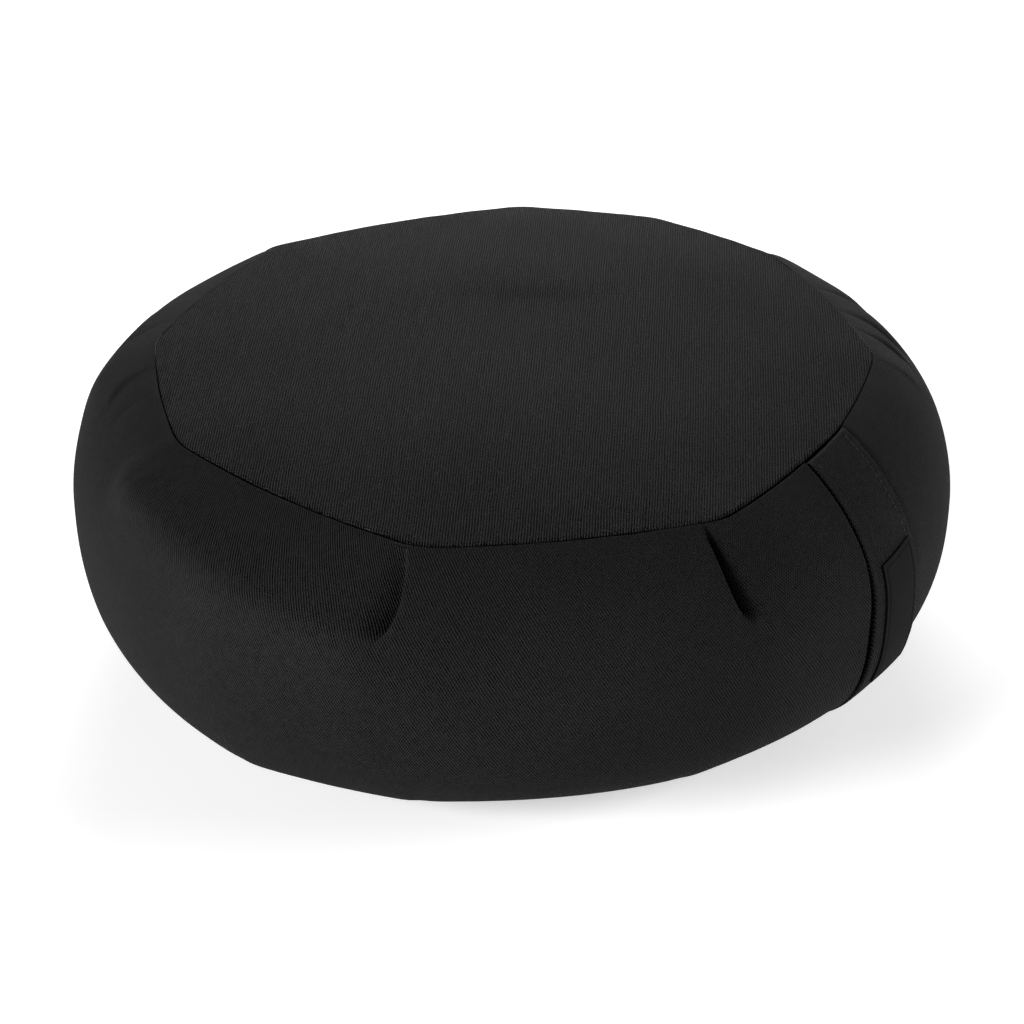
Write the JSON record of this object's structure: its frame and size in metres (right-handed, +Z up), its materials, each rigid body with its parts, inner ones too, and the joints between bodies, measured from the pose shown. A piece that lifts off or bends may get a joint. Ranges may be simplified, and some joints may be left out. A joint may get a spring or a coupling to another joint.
{
  "type": "zafu meditation cushion",
  "caption": "Round, firmly filled meditation cushion in black twill: crowned top panel, tucked side band, flat foot and a strap handle.",
  "frame": {"origin": "middle of the flat round foot that the cushion rests on", "axes": "+Z up through the top panel, -Y the front, +X the side that the strap handle is on"},
  "size_m": [0.4003, 0.4, 0.1432],
  "materials": {
    "band_twill": "matte",
    "top_twill": "matte",
    "bottom_twill": "matte",
    "strap_twill": "matte",
    "label_satin": "satin"
  },
  "bodies": {
    "root": {"side_band": "band_twill", "top_panel": "top_twill", "bottom_panel": "bottom_twill", "handle_strap": "strap_twill", "label_patch": "label_satin"}
  },
  "joints": []
}
